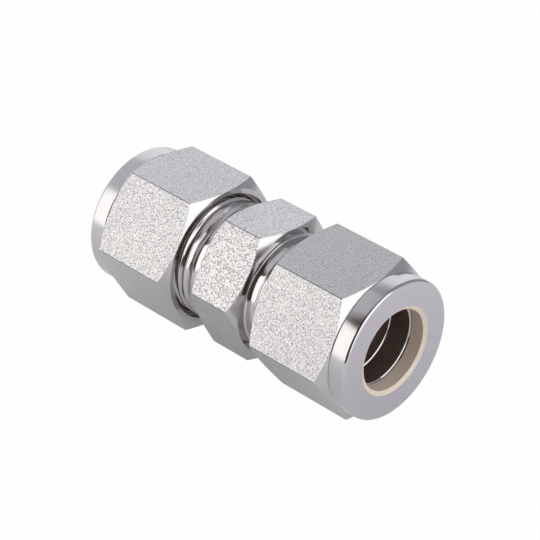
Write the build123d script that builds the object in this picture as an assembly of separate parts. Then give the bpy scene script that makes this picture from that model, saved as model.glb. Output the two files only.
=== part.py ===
from build123d import *

import os
from math import cos, radians, sqrt, tan

# Straight twin-ferrule compression union for half-inch tube, in millimetres.
# The fitting's axis is X, and the origin is the centre of the body on that axis.
# +X runs towards the right-hand nut. +Z is up, with the union lying on its two nuts.

os.makedirs("parts", exist_ok=True)

# Tube and thread that the fitting is made for
TUBE_OD = 12.7                    # half-inch tube
THREAD_WALL = 3.175               # tube surface to thread crest, which makes a 3/4-20 thread
THREAD_PITCH = 1.27

# Union body
BODY_HEX_STEP = 0.79375           # flats above the thread's crest: 13/16 in across flats
BODY_HEX_WIDTH = 8.9
BODY_FACE_STEP = 0.07             # the hexagon's end face stays inside the flats by this
NECK_LENGTH = 2.5                 # smooth neck between the hexagon and the thread
NECK_RELIEF = 0.675               # neck radius below the thread's crest
NECK_TAPER = 0.45                 # 45 degree cone where the neck meets the hexagon
THREAD_LENGTH = 11.35
THREAD_END_CHAMFER = 0.7
TUBE_STOP_SPAN = 6.2              # between the two shoulders that stop the tubes
TUBE_STOP_STEP = 1.22             # height of each shoulder above the through bore
MOUTH_DEPTH = 3.5
MOUTH_ANGLE = 20.0                # half angle of the mouth that squeezes the front ferrule

# Nuts
NUT_WALL = 1.5875                 # thread crest to flats: 7/8 in across flats
NUT_GAP = 3.85                    # body's hexagon to nut, finger tight
NUT_BOSS_LENGTH = 3.06            # round collar at the outer end
NUT_FACE_STEP = 0.06              # boss and face radius below the flats
NUT_EDGE_ROUND = 0.45
NUT_COLLAR_LENGTH = 2.66          # wall that the tube passes through
NUT_LEAD_IN_DEPTH = 0.34
NUT_LEAD_IN_RISE = 0.64
NUT_COUNTERSINK = 1.2             # 45 degree lead into the thread
NUT_EDGE_BREAK = 0.15
NUT_THREAD_RUN_OUT = 4.1          # thread's last full turn, ahead of the driving shoulder

# Ferrules
FRONT_WALL = 1.7                  # front ferrule's flange, from its bore
FRONT_TIP_STANDOFF = 0.7          # ferrule tip above the bottom of the body's mouth
FRONT_FLANGE_LENGTH = 0.95
FRONT_RECESS_DEPTH = 1.15         # 45 degree recess that takes the back ferrule's nose
BACK_TIP_STANDOFF = 0.3
BACK_LENGTH = 3.65
BACK_NOSE_WALL = 0.9              # back ferrule's nose, from its bore
BACK_FLANGE_WALL = 1.5            # back ferrule's flange, from its bore
BACK_FLANGE_LENGTH = 1.6
BACK_DRIVE_ANGLE = 15.0           # slope of the driven rear face
BORE_EDGE_BREAK = 0.2

# Shared angle and plays
HEX_CHAMFER_ANGLE = 30.0          # from the end face
SOCKET_PLAY = 0.07                # radial, tube in body
FERRULE_PLAY = 0.05               # radial, tube in ferrules
NUT_BORE_PLAY = 0.10              # radial, tube in nut
THREAD_PLAY = 0.06                # radial, between the plain threaded walls
SEAT_PLAY = 0.05                  # between seated cones and shoulders
CAVITY_PLAY = 0.15                # radial, front ferrule in the nut

CUT_PAST = 1.0                    # how far a cutting profile runs past an end face
SAME = 1e-4                       # two lengths closer than this are the same

# How the fitting lies: each hexagon is turned about the axis on its own
BODY_TURN = -7.5
NUT_TURN = {"left": -4.0, "right": 4.0}
NUT_SLACK = {"left": 0.5, "right": 0.0}    # outwards from finger tight

# Radii worked out from the sizes above
socket_radius = TUBE_OD / 2 + SOCKET_PLAY
through_radius = socket_radius - TUBE_STOP_STEP
ferrule_bore = TUBE_OD / 2 + FERRULE_PLAY
nut_bore = TUBE_OD / 2 + NUT_BORE_PLAY
crest_radius = TUBE_OD / 2 + THREAD_WALL
pitch_radius = crest_radius - 3 * sqrt(3) / 16 * THREAD_PITCH
body_thread_radius = pitch_radius - THREAD_PLAY / 2
nut_thread_radius = pitch_radius + THREAD_PLAY / 2
neck_radius = crest_radius - NECK_RELIEF
body_flat = crest_radius + BODY_HEX_STEP
body_face_radius = body_flat - BODY_FACE_STEP
nut_flat = crest_radius + NUT_WALL
nut_face_radius = nut_flat - NUT_FACE_STEP
mouth_slope = tan(radians(MOUTH_ANGLE))
drive_slope = tan(radians(BACK_DRIVE_ANGLE))
mouth_radius = socket_radius + MOUTH_DEPTH * mouth_slope
flange_radius = ferrule_bore + FRONT_WALL
cavity_radius = flange_radius + CAVITY_PLAY

# Stations along the axis, measured outwards from the body's centre, finger tight
tube_stop = TUBE_STOP_SPAN / 2
hex_end = BODY_HEX_WIDTH / 2
thread_start = hex_end + NECK_LENGTH
body_end = thread_start + THREAD_LENGTH
mouth_floor = body_end - MOUTH_DEPTH
front_tip = mouth_floor + FRONT_TIP_STANDOFF
seat_gap = SEAT_PLAY / cos(radians(MOUTH_ANGLE))
flange_start = mouth_floor + (flange_radius + seat_gap - socket_radius) / mouth_slope
front_rear = flange_start + FRONT_FLANGE_LENGTH
recess_floor = front_rear - FRONT_RECESS_DEPTH
back_tip = recess_floor + BACK_TIP_STANDOFF
back_rear = back_tip + BACK_LENGTH
nut_shoulder = back_rear + SEAT_PLAY
nut_end = nut_shoulder + NUT_COLLAR_LENGTH
boss_start = nut_end - NUT_BOSS_LENGTH
nut_face = hex_end + NUT_GAP


def turned(*points):
    """Solid of revolution about X from (distance along X, radius) points."""
    profile = make_face(Polyline(*points, close=True))
    return revolve(profile, axis=Axis.X)


def rounded(solid, station, radius, size):
    """Round the circular edge at this station along X and with this radius."""
    circles = solid.edges().filter_by(GeomType.CIRCLE)
    here = [
        circle
        for circle in circles
        if abs(circle.arc_center.X - station) < SAME and abs(circle.radius - radius) < SAME
    ]
    return fillet(here, size)


def hexagon(flat, start, end):
    """Hexagonal bar along X, its flats this far from the axis and one of them facing +Z."""
    outline = Plane.YZ * RegularPolygon(flat, 6, major_radius=False)
    return Pos(start, 0, 0) * extrude(outline, end - start, dir=(1, 0, 0))


def chamfered_hexagon(flat, face_radius, start, end):
    """Hexagonal bar whose corners are turned away by a cone at both ends."""
    corner = 2 * flat / sqrt(3)
    fall = (corner - face_radius) * tan(radians(HEX_CHAMFER_ANGLE))
    envelope = turned(
        (start, 0), (start, face_radius), (start + fall, corner),
        (end - fall, corner), (end, face_radius), (end, 0),
    )
    return hexagon(flat, start, end) & envelope


def cone_radius(station):
    """Radius of the front ferrule's cone at this station, just clear of the body's mouth."""
    return socket_radius + (station - mouth_floor) * mouth_slope - seat_gap


def make_body():
    """Hexagon with a neck, a thread and a coned tube socket at each end, bored through."""
    hex_part = chamfered_hexagon(body_flat, body_face_radius, -hex_end, hex_end)
    body = Rot(BODY_TURN, 0, 0) * hex_part
    root_radius = neck_radius + NECK_TAPER
    thread_rise = body_thread_radius - neck_radius
    for turn in (0, 180):
        barrel = turned(
            (0, 0), (0, root_radius), (hex_end, root_radius),
            (hex_end + NECK_TAPER, neck_radius), (thread_start, neck_radius),
            (thread_start + thread_rise, body_thread_radius),
            (body_end - THREAD_END_CHAMFER, body_thread_radius),
            (body_end, body_thread_radius - THREAD_END_CHAMFER), (body_end, 0),
        )
        body += Rot(0, 0, turn) * barrel
        socket = turned(
            (0, 0), (0, through_radius), (tube_stop, through_radius), (tube_stop, socket_radius),
            (mouth_floor, socket_radius), (body_end, mouth_radius),
            (body_end + CUT_PAST, mouth_radius), (body_end + CUT_PAST, 0),
        )
        body -= Rot(0, 0, turn) * socket
    return body


def make_front_ferrule():
    """Long cone that the body's mouth squeezes on the tube, recessed behind."""
    return turned(
        (front_tip, ferrule_bore), (front_tip, cone_radius(front_tip)),
        (flange_start, flange_radius), (front_rear, flange_radius),
        (front_rear, ferrule_bore + FRONT_RECESS_DEPTH), (recess_floor, ferrule_bore),
    )


def make_back_ferrule():
    """Short ring: a 45 degree nose in the front ferrule's recess and a sloped, driven flange."""
    nose_gap = SEAT_PLAY * sqrt(2)
    tip_radius = ferrule_bore + BACK_TIP_STANDOFF - nose_gap
    nose_radius = ferrule_bore + BACK_NOSE_WALL
    nose_end = back_tip + nose_radius - tip_radius
    back_flange = ferrule_bore + BACK_FLANGE_WALL
    flange_rear = back_rear - (back_flange - ferrule_bore) * drive_slope
    flange_front = flange_rear - BACK_FLANGE_LENGTH
    return turned(
        (back_tip, ferrule_bore), (back_tip, tip_radius), (nose_end, nose_radius),
        (flange_front, nose_radius), (flange_front, back_flange),
        (flange_rear, back_flange),
        (back_rear - BORE_EDGE_BREAK * drive_slope, ferrule_bore + BORE_EDGE_BREAK),
        (back_rear - BORE_EDGE_BREAK, ferrule_bore),
    )


def make_nut():
    """Hexagon nut with a round boss, threaded at the back, coned to drive the ferrules."""
    hex_part = chamfered_hexagon(nut_flat, nut_face_radius, nut_face, boss_start)
    middle = (nut_face + boss_start) / 2
    boss = turned(
        (middle, 0), (middle, nut_face_radius), (nut_end, nut_face_radius), (nut_end, 0)
    )
    nut = rounded(hex_part + boss, nut_end, nut_face_radius, NUT_EDGE_ROUND)
    sink_radius = nut_thread_radius + NUT_COUNTERSINK
    lead_in_radius = nut_bore + NUT_LEAD_IN_RISE
    thread_end = nut_shoulder - NUT_THREAD_RUN_OUT
    cavity_start = thread_end + nut_thread_radius - cavity_radius
    cavity_end = nut_shoulder - (cavity_radius - nut_bore) * drive_slope
    inside = turned(
        (nut_face - CUT_PAST, 0), (nut_face - CUT_PAST, sink_radius),
        (nut_face, sink_radius), (nut_face + NUT_COUNTERSINK, nut_thread_radius),
        (thread_end, nut_thread_radius), (cavity_start, cavity_radius),
        (cavity_end, cavity_radius),
        (nut_shoulder - NUT_EDGE_BREAK * drive_slope, nut_bore + NUT_EDGE_BREAK),
        (nut_shoulder + NUT_EDGE_BREAK, nut_bore),
        (nut_end - NUT_LEAD_IN_DEPTH, nut_bore), (nut_end, lead_in_radius),
        (nut_end + CUT_PAST, lead_in_radius), (nut_end + CUT_PAST, 0),
    )
    return nut - inside


def placed(piece, side, turn):
    """Put a piece made for the right-hand end on its side, turned and backed off."""
    outwards = Pos(NUT_SLACK[side], 0, 0) * piece
    if side == "left":
        outwards = Rot(0, 0, 180) * outwards
    return Rot(turn, 0, 0) * outwards


def save(name, shape):
    """Write one piece as its own named solid."""
    solid = shape.solids()[0]
    solid.label = name
    export_step(solid, f"parts/{name}.step")


save("union_body", make_body())
for side, nut_turn in NUT_TURN.items():
    save(f"nut_{side}", placed(make_nut(), side, nut_turn))
    save(f"front_ferrule_{side}", placed(make_front_ferrule(), side, 0))
    save(f"back_ferrule_{side}", placed(make_back_ferrule(), side, 0))
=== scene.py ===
from math import atan, cos, pi, radians, sin, sqrt, tan

import bmesh
import bpy
import numpy as np
from mathutils import Matrix, Vector


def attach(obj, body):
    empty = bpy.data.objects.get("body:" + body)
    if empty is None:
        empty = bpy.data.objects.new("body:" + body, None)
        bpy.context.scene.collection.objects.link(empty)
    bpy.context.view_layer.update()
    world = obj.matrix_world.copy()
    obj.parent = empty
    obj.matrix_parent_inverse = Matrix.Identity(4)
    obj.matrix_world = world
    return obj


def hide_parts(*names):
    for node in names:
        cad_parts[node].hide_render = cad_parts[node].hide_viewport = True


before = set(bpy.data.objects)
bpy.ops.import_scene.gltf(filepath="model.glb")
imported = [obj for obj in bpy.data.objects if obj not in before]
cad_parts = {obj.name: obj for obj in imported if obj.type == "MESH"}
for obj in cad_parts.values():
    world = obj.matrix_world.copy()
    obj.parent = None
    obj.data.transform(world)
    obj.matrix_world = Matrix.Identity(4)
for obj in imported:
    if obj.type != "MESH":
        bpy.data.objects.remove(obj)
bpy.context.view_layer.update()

MM = 0.001

# All sizes are in millimetres, along the union's axis X from the body's centre and out from that axis.

# The thread: its pitch, the radius of crests and roots, half a crest's flat width, a flank's rise for
# each millimetre along, where the middle of a groove lies straight up from the axis, and the space
# left between the body's thread and the nut's
PITCH = 1.27
CREST = 9.525
ROOT = 8.85
HALF_CREST = 0.17
FLANK = 1 / tan(radians(30))
GROOVE_PLACE = -0.39
THREAD_CLEARANCE = 0.06

# Slopes of the hexagons' chamfers and of the nut's drive face
CHAMFER = tan(radians(30))
DRIVE = tan(radians(15))

# The tube socket's radius, where its coned mouth starts, and the angle of that cone with the axis
SOCKET = 6.42
MOUTH_START = 14.8
MOUTH_ANGLE = radians(20)

# Turn of the hexagons in degrees, and how far each nut stands out from finger tight
BODY_TURN = -7.5
NUT_TURN = 4.0
NUT_SLACK = {"left": 0.5, "right": 0.0}

# A hexagon's rounded corner, the points on its arc and on the side beside it
CORNER_ROUND = 0.13
CORNER_POINTS = np.array([-1, -0.6, -0.2, 0.2, 0.6, 1])
SIDE_POINTS = 21
SIDE_MARGIN = 0.05


# Shapes

def outline(flat, turn):
    """Angles around the axis, and a hexagon's distance from the axis at each of them.

    The angle runs from +Z towards -Y. Between two corners the distance is flat over the cosine of the
    angle from the flat's middle. At a corner it follows a small arc that touches both flats.
    """
    half, sixth = radians(30), radians(60)
    centre = (flat - CORNER_ROUND) / cos(half)
    touch = atan(CORNER_ROUND * sin(half) / (centre + CORNER_ROUND * cos(half)))
    arc = touch * CORNER_POINTS
    margin = touch + SIDE_MARGIN / flat
    side = np.linspace(margin, sixth - margin, SIDE_POINTS)
    around_arc = centre * np.cos(arc) + np.sqrt(CORNER_ROUND**2 - (centre * np.sin(arc)) ** 2)
    along_side = flat / np.cos(side - half)
    corners = radians(turn) - half + sixth * np.arange(6)
    angles = (corners[:, None] + np.concatenate([arc, side])[None, :]).ravel()
    return angles, np.tile(np.concatenate([around_arc, along_side]), 6)


def flats_and_edges(angles, flat_number, painted_edge_number):
    """Finish number of each strip between two angles of an outline: the painted dark edge on the corner
    arcs.
    """
    place = np.arange(len(angles)) % (len(angles) // 6)
    return np.where(place < len(CORNER_POINTS) - 1, painted_edge_number, flat_number)


def circle(count):
    """Evenly spaced angles around the axis."""
    return np.linspace(0, 2 * pi, count, endpoint=False)


def arc_points(centre_x, centre_r, size, start, end, count):
    """Points of an arc in the section: centre plus size times the cosine and sine of the angle."""
    turn = np.radians(np.linspace(start, end, count))
    return [(centre_x + size * cos(t), centre_r + size * sin(t)) for t in turn]


def rings(section, angles):
    """Grid of points: each section point (x, radius) carried once around the axis.

    x and radius are numbers, or one value for each angle. A point at angle a lies at
    x, minus radius times sine a, radius times cosine a.
    """
    ones = np.ones_like(angles)
    x = np.array([station * ones for station, _ in section])
    r = np.array([radius * ones for _, radius in section])
    return np.stack([x, -r * np.sin(angles), r * np.cos(angles)], axis=-1)


def around(rows, columns, closed):
    """Four-cornered faces between neighbours on a grid whose columns close around the axis.

    With closed, the last row also joins the first.
    """
    row = np.arange(rows if closed else rows - 1)[:, None]
    column = np.arange(columns)[None, :]
    above = (row + 1) % rows
    beside = (column + 1) % columns
    faces = np.stack([row * columns + column, row * columns + beside,
                      above * columns + beside, above * columns + column], axis=-1)
    return faces.reshape(-1, 4)


def upper(first, second, rounding):
    """The larger of two heights, their crossing rounded.

    It is half of the sum and of the root of the squared difference plus the squared rounding.
    """
    return (first + second + np.sqrt((first - second) ** 2 + rounding**2)) / 2


def thread_radius(along, limit, root, shift):
    """V thread's radius at a distance along the axis from the middle of a crest.

    It is the crest's radius over the flat crest, then falls by the 60 degree flank, and stops at the
    root, with both corners rounded. shift moves the flanks out from the axis, and nothing is left
    outside the limit.
    """
    crest_rounding, root_rounding = 0.09, 0.06
    fall = upper(0.0, (np.abs(along) - HALF_CREST) * FLANK, crest_rounding)
    return np.minimum(upper(CREST + shift - fall, root, root_rounding), limit)


def thread_strip(angles, start, end, place, radius_at, cones, inside):
    """Faces of a right-hand thread between two rings at start and end.

    A profile one pitch long is carried along a helix: at angle a and profile place t a point is at
    place + pitch * (a / full turn + t) along the axis, and at radius_at(t from the crest) out from
    it. Points past either ring stay on it, and cones(x, radius) gives the radius left by the cones
    at both ends, so that the strip closes on the rings.
    """
    first_turn = int(np.floor((start - place) / PITCH)) - 2
    last_turn = int(np.ceil((end - place) / PITCH)) + 1
    turns = np.arange(first_turn, last_turn)
    helix = (angles[None, :] + 2 * pi * turns[:, None]).ravel()
    helix = np.append(helix, helix[0] + 2 * pi * len(turns))[:, None]

    # Half a profile from groove to crest, with points close together at its two corners
    root_end = 0.5 - ((CREST - ROOT) / FLANK + HALF_CREST) / PITCH
    crest_start = 0.5 - HALF_CREST / PITCH
    near = np.array([-0.045, -0.02, 0, 0.02, 0.045])
    half = np.concatenate([[0], root_end + near, [0.5 * (root_end + crest_start)],
                           crest_start + near, [0.5]])
    profile = np.concatenate([half, 1 - half[-2::-1]])[None, :]

    x = np.clip(place + PITCH * (helix / (2 * pi) + profile), start, end)
    radius = cones(x, radius_at((profile - 0.5) * PITCH))
    points = np.stack([x, -radius * np.sin(helix), radius * np.cos(helix)], axis=-1)
    steps, places = x.shape
    corner = np.arange(steps - 1)[:, None] * places + np.arange(places - 1)[None, :]
    faces = np.stack([corner, corner + places, corner + places + 1, corner + 1], axis=-1)
    faces = faces.reshape(-1, 4)
    return points.reshape(-1, 3), faces[:, ::-1] if inside else faces


def strips(*runs):
    """Section points and finish numbers from (finish, points) runs.

    A run's finish is on the strip that leads to its first point and on those between its points.
    """
    points, numbers = [], []
    for finish, run in runs:
        points.extend(run)
        numbers.extend([finish] * len(run))
    return points, numbers[1:]


def band(section, angles, numbers, closed=False):
    """A grid part from section points, with one finish number for each strip between two points."""
    faces = around(len(section), len(angles), closed)
    on_strips = [np.broadcast_to(number, len(angles)) for number in numbers]
    return rings(section, angles), faces, np.concatenate(on_strips)


def make_piece(name, parts, finishes, body, node, side="middle"):
    """One closed mesh from grids of points, in its place at rest.

    parts is a list of (points, faces, finish number for each face). The grids are joined along their
    shared rings. A piece is made for the right-hand end. One for the left is half a turn about Z
    from it, and each stands out by its nut's slack.
    """
    merge_distance, sharp_angle = 2e-8, 24
    points, faces, numbers, count = [], [], [], 0
    for grid, grid_faces, grid_numbers in parts:
        points.append(grid.reshape(-1, 3))
        faces.append(grid_faces + count)
        numbers.append(np.broadcast_to(grid_numbers, len(grid_faces)))
        count += len(points[-1])
    points, faces, numbers = np.concatenate(points), np.concatenate(faces), np.concatenate(numbers)
    points = points + np.array([NUT_SLACK.get(side, 0.0), 0, 0])
    if side == "left":
        points = points * np.array([-1, -1, 1])
    mesh = bpy.data.meshes.new(name)
    mesh.from_pydata((points * MM).tolist(), [], faces.tolist())
    mesh.polygons.foreach_set("material_index", numbers.astype(np.int32))
    for finish in finishes:
        mesh.materials.append(finish)
    work = bmesh.new()
    work.from_mesh(mesh)
    bmesh.ops.remove_doubles(work, verts=work.verts, dist=merge_distance)
    loose = [vert for vert in work.verts if not vert.link_faces]
    bmesh.ops.delete(work, geom=loose, context="VERTS")
    work.to_mesh(mesh)
    work.free()
    mesh.polygons.foreach_set("use_smooth", np.ones(len(mesh.polygons), dtype=bool))
    mesh.set_sharp_from_angle(angle=radians(sharp_angle))
    piece = bpy.data.objects.new(name, mesh)
    bpy.context.scene.collection.objects.link(piece)
    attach(piece, body)
    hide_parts(node)


# Shader nodes

def maths(tree, operation, *values):
    """One step of arithmetic. Each value is a number or another node's output."""
    node = tree.nodes.new("ShaderNodeMath")
    node.operation = operation
    for socket, value in zip(node.inputs, values):
        if isinstance(value, (int, float)):
            socket.default_value = value
        else:
            tree.links.new(value, socket)
    return node.outputs[0]


def ranged(tree, value, low, high, new_low, new_high):
    """A value carried from one range to another and kept inside it."""
    node = tree.nodes.new("ShaderNodeMapRange")
    numbers = (low, high, new_low, new_high)
    for socket, number in zip(("From Min", "From Max", "To Min", "To Max"), numbers):
        node.inputs[socket].default_value = number
    tree.links.new(value, node.inputs["Value"])
    return node.outputs["Result"]


def mixed(tree, share, first, second):
    """Two shaders mixed: only the first at share 0, only the second at share 1."""
    node = tree.nodes.new("ShaderNodeMixShader")
    tree.links.new(share, node.inputs["Fac"])
    tree.links.new(first, node.inputs[1])
    tree.links.new(second, node.inputs[2])
    return node.outputs[0]


def in_millimetres(tree):
    """Object coordinates in millimetres."""
    where = tree.nodes.new("ShaderNodeTexCoord")
    scale = tree.nodes.new("ShaderNodeVectorMath")
    scale.operation = "SCALE"
    scale.inputs["Scale"].default_value = 1 / MM
    tree.links.new(where.outputs["Object"], scale.inputs[0])
    return scale.outputs[0]


def length_of(tree, vector):
    """Length of a vector."""
    node = tree.nodes.new("ShaderNodeVectorMath")
    node.operation = "LENGTH"
    tree.links.new(vector, node.inputs[0])
    return node.outputs["Value"]


def from_axis(tree, where):
    """Distance from the union's axis."""
    flat = tree.nodes.new("ShaderNodeVectorMath")
    flat.operation = "MULTIPLY"
    flat.inputs[1].default_value = (0, 1, 1)
    tree.links.new(where, flat.inputs[0])
    return length_of(tree, flat.outputs[0])


def along_axis(tree, where):
    """Distance along the union's axis."""
    split = tree.nodes.new("ShaderNodeSeparateXYZ")
    tree.links.new(where, split.inputs[0])
    return split.outputs["X"]


def noise(tree, where, scale, detail, roughness=0.5):
    """Noise at this many cells to the millimetre."""
    texture = tree.nodes.new("ShaderNodeTexNoise")
    texture.inputs["Scale"].default_value = scale
    texture.inputs["Detail"].default_value = detail
    texture.inputs["Roughness"].default_value = roughness
    tree.links.new(where, texture.inputs["Vector"])
    return texture.outputs["Fac"]


def turning_lines(tree, across):
    """Fine lines left by the lathe: one-dimensional noise of the length across them."""
    texture = tree.nodes.new("ShaderNodeTexNoise")
    texture.noise_dimensions = "1D"
    texture.inputs["Scale"].default_value = 14.0
    texture.inputs["Detail"].default_value = 3.0
    tree.links.new(across, texture.inputs["W"])
    return texture.outputs["Fac"]


def shaded(tree, value, tint, darkest):
    """A tint, and darkest times that tint where the value is 0."""
    node = tree.nodes.new("ShaderNodeMix")
    node.data_type = "RGBA"
    node.inputs["A"].default_value = (*[darkest * c for c in tint], 1)
    node.inputs["B"].default_value = (*tint, 1)
    tree.links.new(value, node.inputs["Factor"])
    return node.outputs["Result"]


def uneven(tree, patches, rough, change):
    """A roughness that patches of noise change by this much up and down."""
    return ranged(tree, patches, 0.3, 0.7, rough - change, rough + change)


def relief(tree, height, depth, below=None):
    """Bump of this depth in millimetres, over the one below."""
    node = tree.nodes.new("ShaderNodeBump")
    node.inputs["Strength"].default_value = 1.0
    node.inputs["Distance"].default_value = depth * MM
    tree.links.new(height, node.inputs["Height"])
    if below is not None:
        tree.links.new(below, node.inputs["Normal"])
    return node.outputs["Normal"]


# Materials

def new_metal(name, metallic=1.0):
    """A node material with a metal shader on its output, its node tree and that shader's inputs."""
    material = bpy.data.materials.new(name)
    material.use_nodes = True
    tree = material.node_tree
    surface = tree.nodes["Principled BSDF"].inputs
    surface["Metallic"].default_value = metallic
    return material, tree, surface


def pebbled(name, grain, depth, tint, rough):
    """Bar stock's cold-drawn skin: small rounded pits over a soft sheen, with painted shade darkening
    the colour of the deepest pits.
    """
    material, tree, surface = new_metal(name)
    where = in_millimetres(tree)
    skin = noise(tree, where, 1 / grain, 2.5, 0.6)
    pits = ranged(tree, skin, 0.30, 0.49, 0.0, 1.0)
    patches = noise(tree, where, 0.5 / grain, 1.0)
    peel = relief(tree, skin, 3 * depth)
    # Painted shade: the colour falls to 0.7 of the tint in the deepest pits.
    tree.links.new(shaded(tree, pits, tint, 0.7), surface["Base Color"])
    tree.links.new(uneven(tree, patches, rough, 0.06), surface["Roughness"])
    tree.links.new(relief(tree, pits, depth, peel), surface["Normal"])
    return material


def turned(name, tint, rough, depth, lines_across=along_axis, metallic=1.0):
    """Metal turned on a lathe: fine lines around the axis, and a slight change of shade along them."""
    material, tree, surface = new_metal(name, metallic)
    where = in_millimetres(tree)
    fine = turning_lines(tree, lines_across(tree, where))
    patches = noise(tree, where, 0.9, 3.0)
    tree.links.new(shaded(tree, patches, tint, 0.9), surface["Base Color"])
    tree.links.new(uneven(tree, patches, rough, 0.03), surface["Roughness"])
    tree.links.new(relief(tree, fine, depth), surface["Normal"])
    return material


STEEL = (0.615, 0.598, 0.600)
BAR = (0.568, 0.553, 0.553)

nut_flats = pebbled("nut_drawn_flats", grain=0.19, depth=0.0130, tint=BAR, rough=0.16)
body_flats = pebbled("body_drawn_flats", grain=0.27, depth=0.0155, tint=BAR, rough=0.16)
bright_turned = turned("bright_turned_steel", STEEL, rough=0.10, depth=0.0004)
boss_turned = turned("turned_boss", STEEL, rough=0.19, depth=0.0006)
inner_face = turned("smooth_inner_face", STEEL, rough=0.10, depth=0.0003, lines_across=from_axis)
boss_edge = turned("rounded_boss_edge", STEEL, rough=0.07, depth=0.0004)
chamfer_turned = turned("turned_chamfer", STEEL, rough=0.18, depth=0.0005, lines_across=from_axis)
satin_face = turned("satin_end_face", (0.61, 0.595, 0.625), rough=0.32, depth=0.0015,
                    lines_across=from_axis)
plated = turned("silver_plated_bore", (1.0, 0.86, 0.72), rough=0.50, depth=0.0006, metallic=0.12)
nut_thread = turned("nut_thread", (0.55, 0.50, 0.47), rough=0.10, depth=0.0004)
ferrule_finish = turned("polished_ferrule", (0.60, 0.57, 0.55), rough=0.12, depth=0.0003)
# Painted reflection: a brown tint in the ferrules' bore stands for the tan plated wall that it mirrors.
ferrule_bore_painted_reflection = turned("ferrule_bore_painted_reflection", (0.62, 0.52, 0.46), rough=0.40, depth=0.0006)
# Painted shade: a near-black tint of 0.17 on the hexagons' rounded corner arcs draws a dark line along
# each corner.
painted_dark_edge = turned("hexagon_edge_painted_shade", (0.17, 0.165, 0.16), rough=0.12, depth=0.0004)
body_thread = turned("cut_thread", STEEL, rough=0.16, depth=0.0004)


# Union body

def make_body():
    """Hexagon, two necks with fillets, two threads and the bore, from one section and two strips.

    The section runs along the outside from left to right and back through the bore.
    """
    flat, face_radius, hex_end = 10.31875, 10.24875, 4.45
    fillet_size, neck_end, land_end = 0.45, 6.13, 7.62
    body_end, tip, mouth = 18.3, 8.383, 7.694
    shoulder, passage = 3.1, 5.2
    on_flats, on_chamfer, on_face, on_turned, on_bore, on_thread, on_painted_edge = range(7)
    finishes = [body_flats, chamfer_turned, inner_face, bright_turned, bright_turned, body_thread,
                painted_dark_edge]
    angles, distance = outline(flat, BODY_TURN)
    fall = (distance - face_radius) * CHAMFER
    fillet = arc_points(hex_end + fillet_size, ROOT + fillet_size, fillet_size, 180, 270, 7)

    right, right_numbers = strips(
        (on_chamfer, [(-hex_end, face_radius), (-hex_end + fall, distance)]),
        (flats_and_edges(angles, on_flats, on_painted_edge), [(hex_end - fall, distance)]),
        (on_chamfer, [(hex_end, face_radius)]),
        (on_face, fillet),
        (on_turned, [(neck_end, ROOT)]),
    )
    left = [(-x, r) for x, r in reversed(fillet + [(neck_end, ROOT)])]
    outside_numbers = [on_turned] * len(fillet) + [on_face] + right_numbers
    bore, bore_numbers = strips(
        (on_face, [(body_end, tip), (body_end, mouth)]),
        (on_bore, [(MOUTH_START, SOCKET), (shoulder, SOCKET), (shoulder, passage)]),
        (on_bore, [(-shoulder, passage), (-shoulder, SOCKET), (-MOUTH_START, SOCKET)]),
        (on_bore, [(-body_end, mouth)]),
        (on_face, [(-body_end, tip)]),
    )
    parts = [band(left + right, angles, outside_numbers), band(bore, angles, bore_numbers)]

    def plain_thread(along):
        """The body's thread at its full size."""
        return thread_radius(along, CREST, ROOT, 0.0)

    def end_cones(x, radius):
        """Blend from the neck into a plain land, the first groove's run-out, and a 45 degree tip.

        The blend is an arc of 0.45 mm, and above it a slope of 2. The run-out falls by 0.55 mm a
        millimetre from the land's end.
        """
        blend, blend_end, blend_slope = 0.45, 0.4, 2
        run_out_slope, run_out_rounding = 0.55, 0.10
        out = np.abs(x)
        along = np.clip(out - neck_end, 0, blend_end)
        past = np.maximum(out - neck_end - blend_end, 0)
        rise = blend - np.sqrt(blend**2 - along**2) + blend_slope * past
        run_out = CREST - np.maximum(out - land_end, 0) * run_out_slope
        radius = upper(radius, run_out, run_out_rounding)
        return np.minimum(radius, np.minimum(ROOT + rise, tip + body_end - out))

    for place, start, end in ((GROOVE_PLACE, neck_end, body_end),
                              (-GROOVE_PLACE, -body_end, -neck_end)):
        points, faces = thread_strip(angles, start, end, place, plain_thread, end_cones, False)
        parts.append((points, faces, on_thread))
    make_piece("union_body_steel", parts, finishes, "union_body", "union_body")


# Nuts

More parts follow.
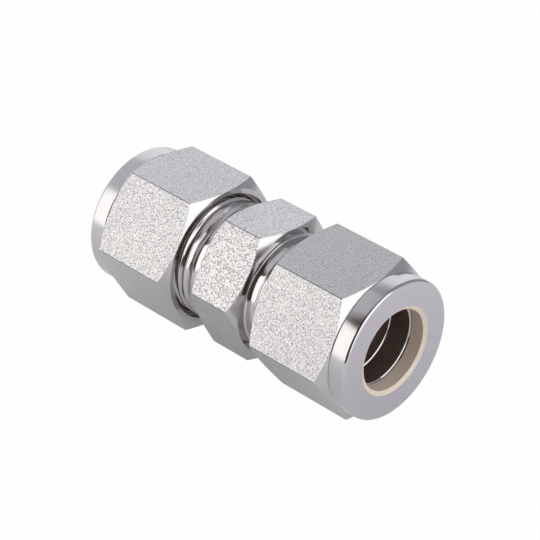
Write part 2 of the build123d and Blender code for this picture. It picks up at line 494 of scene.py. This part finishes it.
def make_nut(side):
    """Hexagon with a round boss outside, a plated thread, cavity and collar inside.

    The section runs out along the outside, in over the end face and back through the bore.
    """
    flat, face_radius = 11.1125, 11.0525
    face, boss_start, end = 8.30, 22.962, 26.022
    groove, groove_depth, groove_end = boss_start + 0.06, 0.12, boss_start + 0.20
    boss_round, bright_points = 0.45, 6
    bore, bore_chamfer, bore_edge = 6.45, 0.34, 7.09
    shoulder, shoulder_break, cavity = 23.362, 0.15, 8.25
    mouth, thread_end, minor, major = 10.343, 19.262, 8.93, 9.62
    (on_face, on_chamfer, on_flats, on_boss, on_end, on_bore, on_thread, on_painted_edge,
     on_boss_edge) = range(9)
    finishes = [inner_face, chamfer_turned, nut_flats, boss_turned, satin_face, plated, nut_thread,
                painted_dark_edge, boss_edge]
    angles, distance = outline(flat, NUT_TURN)
    fall = (distance - face_radius) * CHAMFER
    rounding = arc_points(end - boss_round, face_radius - boss_round, boss_round, 90, 0, 9)

    section, section_numbers = strips(
        (on_face, [(face, mouth), (face, face_radius)]),
        (on_chamfer, [(face + fall, distance)]),
        (flats_and_edges(angles, on_flats, on_painted_edge), [(boss_start - fall, distance)]),
        (on_chamfer, [(groove, face_radius - groove_depth)]),
        (on_boss, [(groove_end, face_radius), rounding[0]]),
        (on_boss_edge, rounding[1:bright_points]),
        (on_end, rounding[bright_points:] + [(end, bore_edge)]),
        (on_bore, [(end - bore_chamfer, bore), (shoulder + shoulder_break, bore)]),
        (on_thread, [(shoulder - shoulder_break * DRIVE, bore + shoulder_break)]),
        (on_thread, [(shoulder - (cavity - bore) * DRIVE, cavity)]),
        (on_thread, [(thread_end + minor - cavity, cavity), (thread_end, minor)]),
    )

    def wider_thread(along):
        """The body's thread moved out by the clearance, cut off at the nut's own two radii."""
        return thread_radius(along, major, minor, THREAD_CLEARANCE)

    def end_cones(x, radius):
        """The grooves run out ahead of the cavity, and a 45 degree countersink opens the mouth."""
        return np.maximum(np.minimum(radius, minor + thread_end - x), mouth + face - x)

    place = GROOVE_PLACE - NUT_SLACK[side]
    points, faces = thread_strip(angles, face, thread_end, place, wider_thread, end_cones, True)
    parts = [band(section, angles, section_numbers), (points, faces, on_thread)]
    make_piece(f"nut_{side}_steel", parts, finishes, f"nut_{side}", f"nut_{side}", side)


# Ferrules

def make_ring(name, section, side):
    """Closed ring from a section, carried around the axis. Its first strip is the bore."""
    on_outside, on_bore = range(2)
    numbers = [on_bore] + [on_outside] * (len(section) - 1)
    parts = [band(section, circle(180), numbers, closed=True)]
    make_piece(f"{name}_{side}_steel", parts, [ferrule_finish, ferrule_bore_painted_reflection], f"ferrules_{side}",
               f"{name}_{side}", side)


def make_ferrules(side):
    """Front cone and back ring, with small edge breaks where they show in the bore."""
    bore, clearance = 6.40, 0.05
    tip, flange_start, rear = 15.5, 19.562, 20.512
    recess, recess_mouth, flange = 19.362, 7.55, 8.1
    tip_radius = SOCKET + (tip - MOUTH_START) * tan(MOUTH_ANGLE) - clearance / cos(MOUTH_ANGLE)
    make_ring("front_ferrule", [
        (recess, bore), (tip, bore), (tip, tip_radius), (flange_start, flange), (rear, flange),
        (rear, recess_mouth),
    ], side)

    tip, rear, nose, flange = 19.662, 23.312, 7.3, 7.9
    flange_width, edge_break = 1.6, 0.2
    tip_radius = bore + tip - recess - clearance * sqrt(2)
    flange_rear = rear - (flange - bore) * DRIVE
    flange_start = flange_rear - flange_width
    make_ring("back_ferrule", [
        (rear - edge_break, bore), (tip, bore), (tip, tip_radius), (tip + nose - tip_radius, nose),
        (flange_start, nose), (flange_start, flange), (flange_rear, flange),
        (rear - edge_break * DRIVE, bore + edge_break),
    ], side)


make_body()
for side in ("left", "right"):
    make_nut(side)
    make_ferrules(side)


# Floor, light and camera

def floor_material():
    """White floor: plain under the union's light, bright to the camera and to mirrored rays.

    What the metal mirrors has painted shade near the middle: it grows brighter from 10 to 60 mm from
    the middle. From 110 to 200 mm it gives way to the studio behind it.
    """
    material = bpy.data.materials.new("white_floor")
    material.use_nodes = True
    tree = material.node_tree
    tree.nodes.clear()
    out = tree.nodes.new("ShaderNodeOutputMaterial")
    plain = tree.nodes.new("ShaderNodeBsdfDiffuse")
    plain.inputs["Color"].default_value = (0.83, 0.83, 0.92, 1)
    white = tree.nodes.new("ShaderNodeEmission")
    white.inputs["Color"].default_value = (1, 1, 1, 1)
    white.inputs["Strength"].default_value = 1.0
    clear = tree.nodes.new("ShaderNodeBsdfTransparent")
    ray = tree.nodes.new("ShaderNodeLightPath").outputs
    distance = length_of(tree, in_millimetres(tree))
    # Painted shade: mirrored rays see less white near the middle, so the floor they show darkens
    # towards the union, from 0.72 at 60 mm to 0.27 at 10 mm.
    mirrored = maths(tree, "MULTIPLY",
                     maths(tree, "ADD", ray["Is Glossy Ray"], ray["Is Transmission Ray"]),
                     ranged(tree, distance, 10.0, 60.0, 0.27, 0.72))
    bright = maths(tree, "MULTIPLY_ADD", ray["Is Camera Ray"], 0.985, mirrored)
    beyond = maths(tree, "MULTIPLY", ray["Is Glossy Ray"],
                   ranged(tree, distance, 110.0, 200.0, 0.0, 1.0))
    lit = mixed(tree, bright, plain.outputs[0], white.outputs[0])
    tree.links.new(mixed(tree, beyond, lit, clear.outputs[0]), out.inputs["Surface"])
    return material


def make_floor():
    """Wide white disc under the two nuts: rings of points at growing distances from the middle."""
    floor_height = -11.54
    distance = np.array([0.0001, 0.05, 0.2, 0.8, 3.0])
    angles = circle(64)
    x = distance[:, None] * np.sin(angles)
    y = distance[:, None] * np.cos(angles)
    points = np.stack([x, y, np.full_like(x, floor_height * MM)], axis=-1).reshape(-1, 3)
    faces = around(len(distance), len(angles), False)[:, ::-1]
    middle = np.arange(len(angles)).tolist()
    mesh = bpy.data.meshes.new("floor")
    mesh.from_pydata(points.tolist(), [], faces.tolist() + [middle])
    mesh.materials.append(floor_material())
    floor = bpy.data.objects.new("floor", mesh)
    bpy.context.scene.collection.objects.link(floor)


def make_studio():
    """Soft studio around the union, as a plain world: light by compass direction and height.

    The compass angle is 0 towards -Y and 90 towards +X, in degrees, and so is the height. Mirrored
    and scattered rays see the studio. The camera and rays that pass through see white.
    """
    world = bpy.data.worlds.new("studio")
    bpy.context.scene.world = world
    world.use_nodes = True
    tree = world.node_tree
    tree.nodes.clear()
    out = tree.nodes.new("ShaderNodeOutputWorld")
    split = tree.nodes.new("ShaderNodeSeparateXYZ")
    tree.links.new(tree.nodes.new("ShaderNodeTexCoord").outputs["Generated"], split.inputs[0])
    towards_front = maths(tree, "MULTIPLY", split.outputs["Y"], -1.0)
    compass = maths(tree, "DEGREES", maths(tree, "ARCTAN2", split.outputs["X"], towards_front))
    height = maths(tree, "DEGREES", maths(tree, "ARCSINE", split.outputs["Z"]))

    def ramp(value, start, end):
        """0 at start and 1 at end, with a soft change between them."""
        node = tree.nodes.new("ShaderNodeMapRange")
        node.interpolation_type = "SMOOTHSTEP"
        node.inputs["From Min"].default_value = start
        node.inputs["From Max"].default_value = end
        tree.links.new(value, node.inputs["Value"])
        return node.outputs["Result"]

    def patch(edges, soft):
        """1 inside a patch of sky and 0 outside, with edges this soft in degrees."""
        left, right, low, high = edges
        sides = maths(tree, "MULTIPLY", ramp(compass, left - soft[0], left),
                      ramp(compass, right + soft[1], right))
        levels = maths(tree, "MULTIPLY", ramp(height, low - soft[2], low),
                       ramp(height, high + soft[3], high))
        return maths(tree, "MULTIPLY", sides, levels)

    def toward(level, light, share):
        """The sky's colour moved to this light inside a patch."""
        node = tree.nodes.new("ShaderNodeMix")
        node.data_type = "RGBA"
        tree.links.new(share, node.inputs["Factor"])
        tree.links.new(level, node.inputs["A"])
        node.inputs["B"].default_value = (*light, 1)
        return node.outputs["Result"]

    # Each patch's light, its left, right, low and high edge, and how soft each of those is
    patches = (
        ((0.70, 0.70, 0.74), (-112, -20, -20, 95), (14, 20, 5, 1)),
        ((0.36, 0.36, 0.38), (-180, 180, 72, 95), (1, 1, 12, 1)),
        ((0.10, 0.09, 0.08), (-180, -156, 42, 66), (1, 8, 5, 8)),
        ((1.10, 1.10, 1.16), (-152, -124, -4, 32), (4, 14, 8, 20)),
        ((0.08, 0.063, 0.053), (-44, 50, -20, 78), (12, 12, 5, 6)),
        ((1.80, 1.80, 1.80), (66, 124, -20, 38), (14, 3, 5, 22)),
        ((1.72, 1.72, 1.69), (-56, -24, -20, 37), (3, 9, 5, 2)),
    )
    level = tree.nodes.new("ShaderNodeRGB").outputs[0]
    level.default_value = (0.40, 0.40, 0.43, 1)
    for light, edges, soft in patches:
        level = toward(level, light, patch(edges, soft))
    studio = tree.nodes.new("ShaderNodeBackground")
    tree.links.new(level, studio.inputs["Color"])
    white = tree.nodes.new("ShaderNodeBackground")
    white.inputs["Color"].default_value = (1, 1, 1, 1)
    ray = tree.nodes.new("ShaderNodeLightPath").outputs
    sees_white = maths(tree, "ADD", ray["Is Camera Ray"], ray["Is Transmission Ray"])
    seen = mixed(tree, sees_white, studio.outputs[0], white.outputs[0])
    tree.links.new(seen, out.inputs["Surface"])


def make_camera():
    """Camera at the photograph's place: it looks back along its compass and height, a little rolled."""
    compass, height, roll = radians(43.77366), radians(34.24007), radians(0.26545)
    place = (189.26126, -196.343985, 187.270401)
    sensor_width, photo_width, focal_length = 36.0, 540, 2214.11326
    back = Vector((sin(compass) * cos(height), -cos(compass) * cos(height), sin(height)))
    level_right = (-back).cross(Vector((0, 0, 1))).normalized()
    level_up = level_right.cross(-back)
    right = cos(roll) * level_right + sin(roll) * level_up
    up = cos(roll) * level_up - sin(roll) * level_right
    data = bpy.data.cameras.new("camera")
    data.sensor_width = sensor_width
    data.lens = focal_length / photo_width * sensor_width
    data.clip_start, data.clip_end = 0.01, 10.0
    camera = bpy.data.objects.new("camera", data)
    camera.matrix_world = Matrix((
        (right.x, up.x, back.x, place[0] * MM),
        (right.y, up.y, back.y, place[1] * MM),
        (right.z, up.z, back.z, place[2] * MM),
        (0, 0, 0, 1),
    ))
    bpy.context.scene.collection.objects.link(camera)
    bpy.context.scene.camera = camera


make_floor()
make_studio()
make_camera()
bpy.context.scene.view_settings.view_transform = "Standard"
